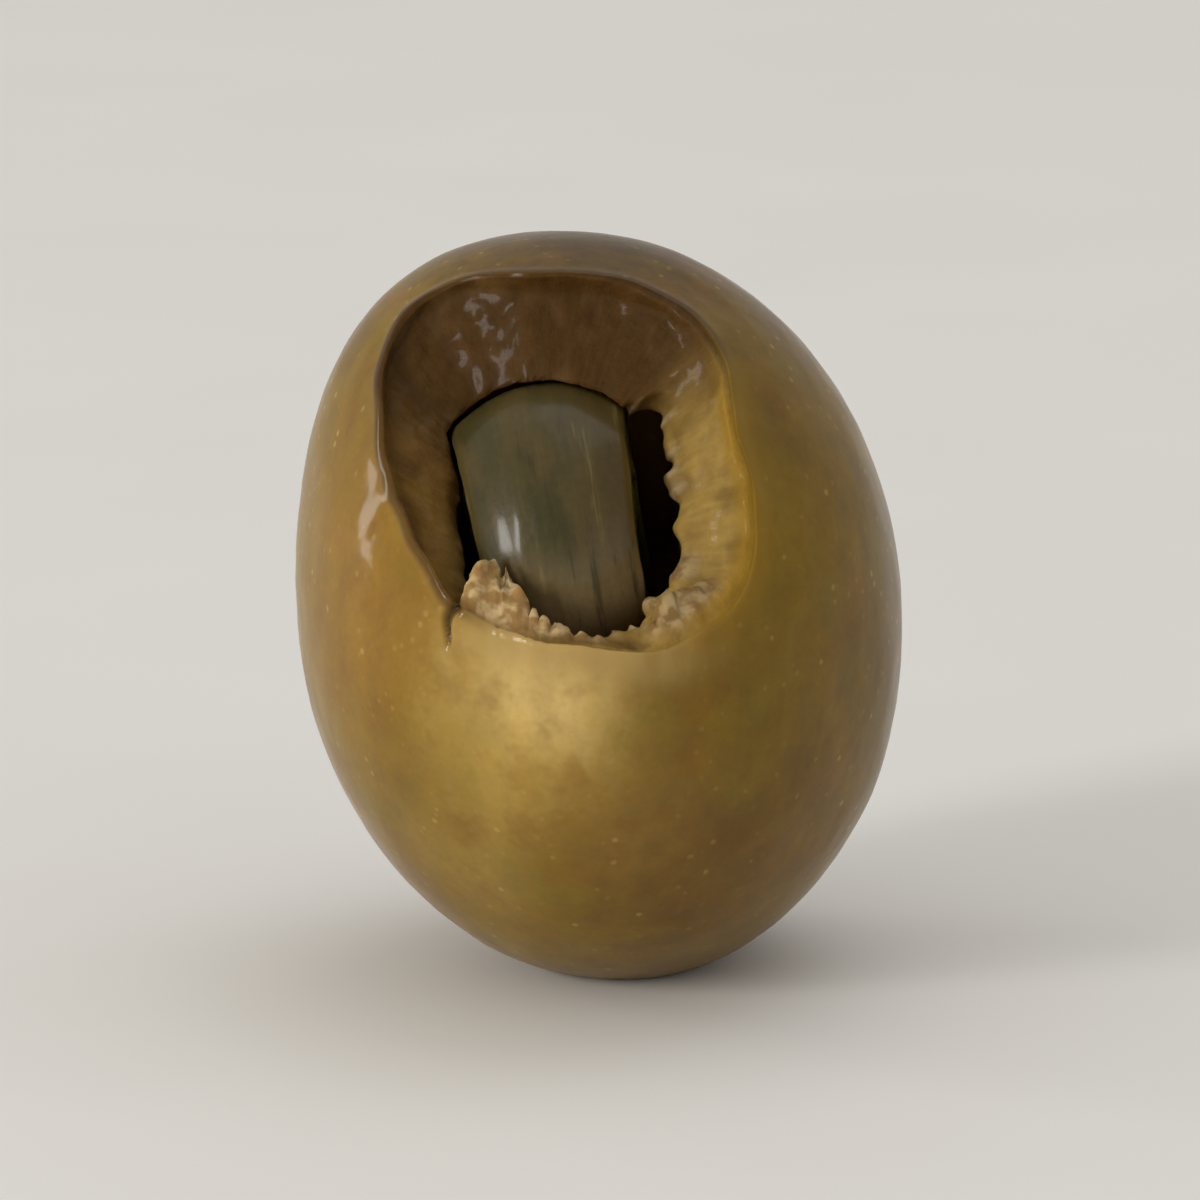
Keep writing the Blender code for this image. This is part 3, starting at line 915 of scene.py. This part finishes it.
# Painted shade and light: the flesh darker on the mouth's left wall and paler on its right
FLESH_SHADED_SIDE = paint(148, 112, 58)
FLESH_LIT_SIDE = paint(184, 152, 90)
FLESH_DARK_CLOT = paint(100, 70, 36)
FLESH_PALE_CLOT = paint(142, 108, 72)
FLESH_SHADED = paint(76, 50, 20)
# Painted light: a lit streak half way down the mouth's left wall
FLESH_LIT_STREAK = paint(160, 130, 84)
TORN_PALE = paint(228, 200, 166)
TORN_TAN = paint(174, 138, 98)
TORN_TIP = paint(150, 118, 74)
# Painted light: the wall deep in the hole, paler than the flesh so that the gap beside the strip reads dark
# brown rather than black
DEEP_WALL_PAINTED_LIGHT = paint(222, 164, 84)
# Painted shade: the dark inside of the needle's cuts
NEEDLE_CUT_SHADE = paint(60, 44, 18)

# The colours of the pepper, before curing
PEPPER_GREEN = paint(78, 72, 39)
PEPPER_KHAKI = paint(98, 84, 50)
PEPPER_YELLOWED = paint(106, 84, 38)
# Painted light: the strip's low end, made paler where the lip shades it
PEPPER_LOW_END_LIT = paint(188, 164, 136)
PEPPER_PALE_STREAK = paint(150, 138, 98)
PEPPER_DARK_STREAK = paint(58, 54, 30)
PEPPER_FLESH = paint(122, 112, 64)
PEPPER_FLESH_DARK = paint(104, 94, 50)


def olive_skin(finish, place, mottle, streaky):
    """The skin's colour, with its clouds, patches and pores, painted light and shade, and what it does
    along the mouth's rim.
    """
    right, upper, from_rim = finish.mark("right"), finish.mark("upper"), finish.mark("from_rim")
    cloudy = finish.grain(finish.stretched(place, (1, 1, 1.2)), 0.0058, 3.0, 0.55)
    skin = finish.blend(finish.soft(cloudy, 0.46, 0.72) * 0.45, SKIN_GOLD, SKIN_BROWN)
    edge = cloudy * 0.25 + streaky * 0.30 + mottle * 0.45
    for centre, radius, colour, strength in SKIN_TONES_AND_PAINTED_LIGHT:
        tone_and_light = patch(finish, place, centre, radius, edge)
        skin = finish.blend(tone_and_light * strength, skin, paint(*colour))
    skin = finish.blend(finish.mark("crease") * 0.30, skin, SKIN_CREASE)
    tone = finish.grain(place, 0.0026, 3.0, 0.62)
    skin = finish.blend(finish.soft(tone, 0.50, 0.68) * 0.35, skin, SKIN_RUSSET)
    skin = finish.blend(finish.soft(tone, 0.46, 0.30) * 0.25, skin, SKIN_GREENISH)
    speckle = finish.grain(place, 0.00032, 2.0, 0.6)
    skin = finish.shade(skin, 0.46 + mottle * 0.56 + streaky * 0.30 + speckle * 0.22)

    pores = finish.soft(finish.cells(place, 0.0012), 0.16, 0.06) * finish.soft(mottle, 0.34, 0.58)
    fine_pores = finish.soft(finish.cells(place, 0.00075), 0.22, 0.10) * finish.soft(mottle, 0.40, 0.66)
    skin = finish.blend(pores * 0.55, skin, SKIN_PORE)
    skin = finish.blend(fine_pores * 0.26, skin, SKIN_PORE)

    # Painted shade: a dark line just outside the rim, on its left and at its top
    left_and_top = finish.soft(right, -0.35, -0.8) + finish.soft(upper, 0.4, 0.8)
    skin = finish.blend(finish.soft(from_rim, 0.55, 0.15) * left_and_top * 0.75, skin, RIM_PAINTED_SHADE)
    pale_edge = finish.soft(from_rim, 2.4, 0.2) * finish.soft(upper, -0.70, -0.95) * (0.35 + streaky * 0.9)
    return finish.blend(pale_edge, skin, RIM_PALE)


def olive_flesh(finish, place, fibre, strand):
    """The flesh's colour: painted shade on the left and at the top, painted light on the right, and pale
    where it is freshly torn.
    """
    right, upper, from_rim = finish.mark("right"), finish.mark("upper"), finish.mark("from_rim")
    clot = finish.grain(place, 0.0020, 2.0)
    # Painted shade on the left wall and painted light on the right
    flesh = finish.blend(finish.soft(right, -0.5, 0.6), FLESH_SHADED_SIDE, FLESH_LIT_SIDE)
    # Painted shade: the flesh at the top of the mouth made darker
    flesh = finish.blend(finish.soft(upper, 0.1, 0.8), flesh, RIM_PAINTED_SHADE)
    flesh = finish.blend(finish.soft(clot, 0.45, 0.65) * 0.5, flesh, FLESH_DARK_CLOT)
    flesh = finish.blend(finish.soft(clot, 0.52, 0.22) * 0.35, flesh, FLESH_PALE_CLOT)
    is_left = finish.soft(right, -0.35, -0.75)
    flesh = finish.blend(is_left * finish.soft(from_rim, 1.3, 0.4) * 0.5, flesh, FLESH_SHADED)
    # Painted light: a lit streak half way down the left wall
    half_way_down = finish.soft(from_rim, 1.4, 2.4) * finish.soft(from_rim, 4.6, 3.4)
    lit_strand = is_left * half_way_down * finish.soft(upper, 0.15, -0.25)
    flesh = finish.blend(lit_strand * 0.6, flesh, FLESH_LIT_STREAK)

    shreds = finish.grain(place, 0.0008, 2.0, 0.55)
    torn = finish.blend(finish.soft(shreds, 0.40, 0.60), TORN_PALE, TORN_TAN)
    torn = finish.blend(finish.mark("torn_edge") * 0.35, torn, TORN_TIP)
    # Painted light and shade: the torn flesh lighter on the left, where the tongue lies, and darker on the
    # right
    torn = finish.shade(torn, 1.02 - right * 0.44)
    flesh = finish.blend(finish.mark("torn") * 0.9, flesh, torn)
    flesh = finish.shade(flesh, 0.50 + fibre * 0.40 + strand * 0.64)
    # Painted light: paler paint deep in the hole, standing in for light that reaches into the gap
    flesh = finish.blend(finish.mark("pit") * 0.8, flesh, DEEP_WALL_PAINTED_LIGHT)
    # Painted shade: the inside of the needle's cuts made dark
    return finish.blend(finish.mark("cut") * 0.7, flesh, NEEDLE_CUT_SHADE)


def olive_finish():
    """Cured olive: damp golden-green skin with brown bruises and pale pores, painted light and shade, and
    duller torn flesh.
    """
    finish = Finish(
        "olive_skin_and_flesh",
        Subsurface_Weight=0.40,
        Subsurface_Radius=(1.9, 1.5, 0.6),
        Subsurface_Scale=0.0007,
        Specular_IOR_Level=0.15,
        Coat_Roughness=0.11,
        Coat_IOR=1.33,
        IOR=1.33,
    )
    place = finish.position()
    right, upper, from_rim = finish.mark("right"), finish.mark("upper"), finish.mark("from_rim")
    mottle = finish.grain(place, 0.0016, 4.0, 0.60)
    streaky = finish.grain(finish.stretched(place, (1, 1, 0.24)), 0.0010, 3.0, 0.55)
    fibre = finish.grain(place, 0.0005, 3.0, 0.6)
    down_the_wall = finish.node("CombineXYZ", None, {"X": right, "Y": upper, "Z": from_rim * 0.02})
    strand = finish.grain(down_the_wall, 0.055, 3.0, 0.6)

    is_flesh = finish.mark("flesh")
    skin = olive_skin(finish, place, mottle, streaky)
    flesh = olive_flesh(finish, place, fibre, strand)
    colour = finish.blend(is_flesh, skin, flesh)
    # Partly the yellow of the skin's cut edge, partly a painted highlight along the rounded lip on the
    # mouth's right
    ridge_highlight = finish.soft(from_rim, 1.4, 0.3) * finish.soft(right, 0.25, 0.8) * finish.soft(upper, 0.6, 0.2)
    colour = finish.blend(ridge_highlight * 0.7, colour, RIM_RIDGE_HIGHLIGHT)
    # Painted shade: the split beside the tongue made dark
    colour = finish.blend(finish.mark("split") * 0.85, colour, SPLIT_SHADE)
    finish.feed("Base Color", finish.cured(colour))

    finish.feed("Roughness", 0.50 + mottle * 0.20)
    finish.feed("Coat Weight", 0.52 - is_flesh * 0.39)
    uneven = mottle * 0.8 + is_flesh * (fibre * 1.6 + strand * 0.8)
    finish.feed("Normal", finish.bump(uneven, 0.4, 0.00014))
    return finish.material


def pepper_finish():
    """Pickled pepper: dull green skin with fine streaks along it, painted light on its low end, and paler
    cut flesh.
    """
    finish = Finish(
        "pickled_pepper",
        Subsurface_Weight=0.3,
        Subsurface_Radius=(1.6, 1.5, 0.6),
        Subsurface_Scale=0.0008,
        Specular_IOR_Level=0.28,
        Coat_Roughness=0.16,
        Coat_IOR=1.33,
        IOR=1.38,
    )
    across, along, depth = finish.mark("across"), finish.mark("along"), finish.mark("depth")
    unrolled = finish.node("CombineXYZ", None, {"X": across, "Y": along, "Z": depth})
    streak = finish.grain(finish.stretched(unrolled, (1, 0.10, 1)), 0.55, 3.0, 0.6)
    patches = finish.grain(finish.stretched(unrolled, (1, 0.4, 1)), 1.6, 3.0)
    speckle = finish.grain(unrolled, 0.35, 2.0, 0.6)
    skin = finish.blend(finish.soft(patches, 0.36, 0.62), PEPPER_GREEN, PEPPER_KHAKI)
    skin = finish.blend(finish.soft(across, 0.6, 2.4) * 0.6, skin, PEPPER_YELLOWED)
    # Painted light: the low end of the strip made paler where the lip shades it
    skin = finish.blend(finish.soft(along, 22.0, 17.0) * 0.8, skin, PEPPER_LOW_END_LIT)
    skin = finish.blend(finish.soft(streak, 0.58, 0.72) * 0.45, skin, PEPPER_PALE_STREAK)
    skin = finish.blend(finish.soft(streak, 0.42, 0.30) * 0.55, skin, PEPPER_DARK_STREAK)
    skin = finish.shade(skin, 0.50 + streak * 0.60 + speckle * 0.40)
    flesh = finish.blend(finish.soft(patches, 0.35, 0.65), PEPPER_FLESH, PEPPER_FLESH_DARK)
    flesh = finish.shade(flesh, 0.75 + speckle * 0.50)
    on_skin = finish.mark("skin")
    finish.feed("Base Color", finish.cured(finish.blend(on_skin, flesh, skin)))
    finish.feed("Roughness", 0.48 - on_skin * 0.12 + speckle * 0.10)
    finish.feed("Coat Weight", 0.25 + on_skin * 0.25)
    finish.feed("Normal", finish.bump(streak * 0.6 + speckle * 0.4, 0.35, 0.00012))
    return finish.material


def floor_finish():
    """A pale matt floor, barely uneven in its tone."""
    finish = Finish("pale_floor", Roughness=0.7)
    grain = finish.grain(finish.position(), 0.02, 1.0)
    finish.feed("Base Color", finish.blend(grain, paint(238, 236, 231), paint(243, 241, 237)))
    return finish.material


def make_floor():
    mesh = bpy.data.meshes.new("floor")
    corners = [(x * FLOOR_HALF, y * FLOOR_HALF, 0) for x, y in ((-1, -1), (1, -1), (1, 1), (-1, 1))]
    mesh.from_pydata(corners, [], [(0, 1, 2, 3)])
    mesh.materials.append(floor_finish())
    floor = in_scene("floor", mesh)


def from_direction(azimuth, elevation):
    """The unit vector towards a direction; azimuth 0 is in front, at -Y, and 90 degrees is at +X."""
    flat = math.cos(elevation)
    return Vector((math.sin(azimuth) * flat, -math.cos(azimuth) * flat, math.sin(elevation)))


def aim(made, target, azimuth, elevation, distance):
    """Puts a camera or a lamp that far from the target in a direction, facing it."""
    back = from_direction(azimuth, elevation)
    made.location = target + back * distance
    made.rotation_euler = (-back).to_track_quat("-Z", "Y").to_euler()


def make_camera(target):
    camera = in_scene("camera", bpy.data.cameras.new("camera"))
    aim(camera, target, CAMERA_AZIMUTH, CAMERA_ELEVATION, CAMERA_DISTANCE)
    camera.data.sensor_width = SENSOR_WIDTH
    camera.data.lens = SENSOR_WIDTH * CAMERA_DISTANCE / FRAME_WIDTH
    camera.data.clip_start = 0.01
    bpy.context.scene.camera = camera


def make_light(name, target, azimuth, elevation, distance, size, power, colour):
    """A soft lamp that faces the object, as wide and as tall as size says."""
    lamp = bpy.data.lights.new(name, "AREA")
    lamp.shape = "RECTANGLE"
    lamp.size, lamp.size_y = size
    lamp.energy = power
    lamp.color = colour
    aim(in_scene(name, lamp), target, math.radians(azimuth), math.radians(elevation), distance)


def make_daylight():
    """Even light from all round, as in a bright room."""
    world = bpy.data.worlds.new("soft_daylight")
    bpy.context.scene.world = world
    world.use_nodes = True
    background = world.node_tree.nodes["Background"]
    background.inputs["Color"].default_value = DAYLIGHT_COLOUR
    background.inputs["Strength"].default_value = DAYLIGHT


make_olive(olive_finish())
make_strip(pepper_finish())
make_floor()
lowest, highest = solid_box
middle = (lowest + highest) / 2
make_camera(middle)
make_daylight()
for name, azimuth, elevation, distance, size, power, colour in LAMPS:
    make_light(name, middle, azimuth, elevation, distance, size, power, colour)
bpy.context.scene.view_settings.view_transform = "Standard"
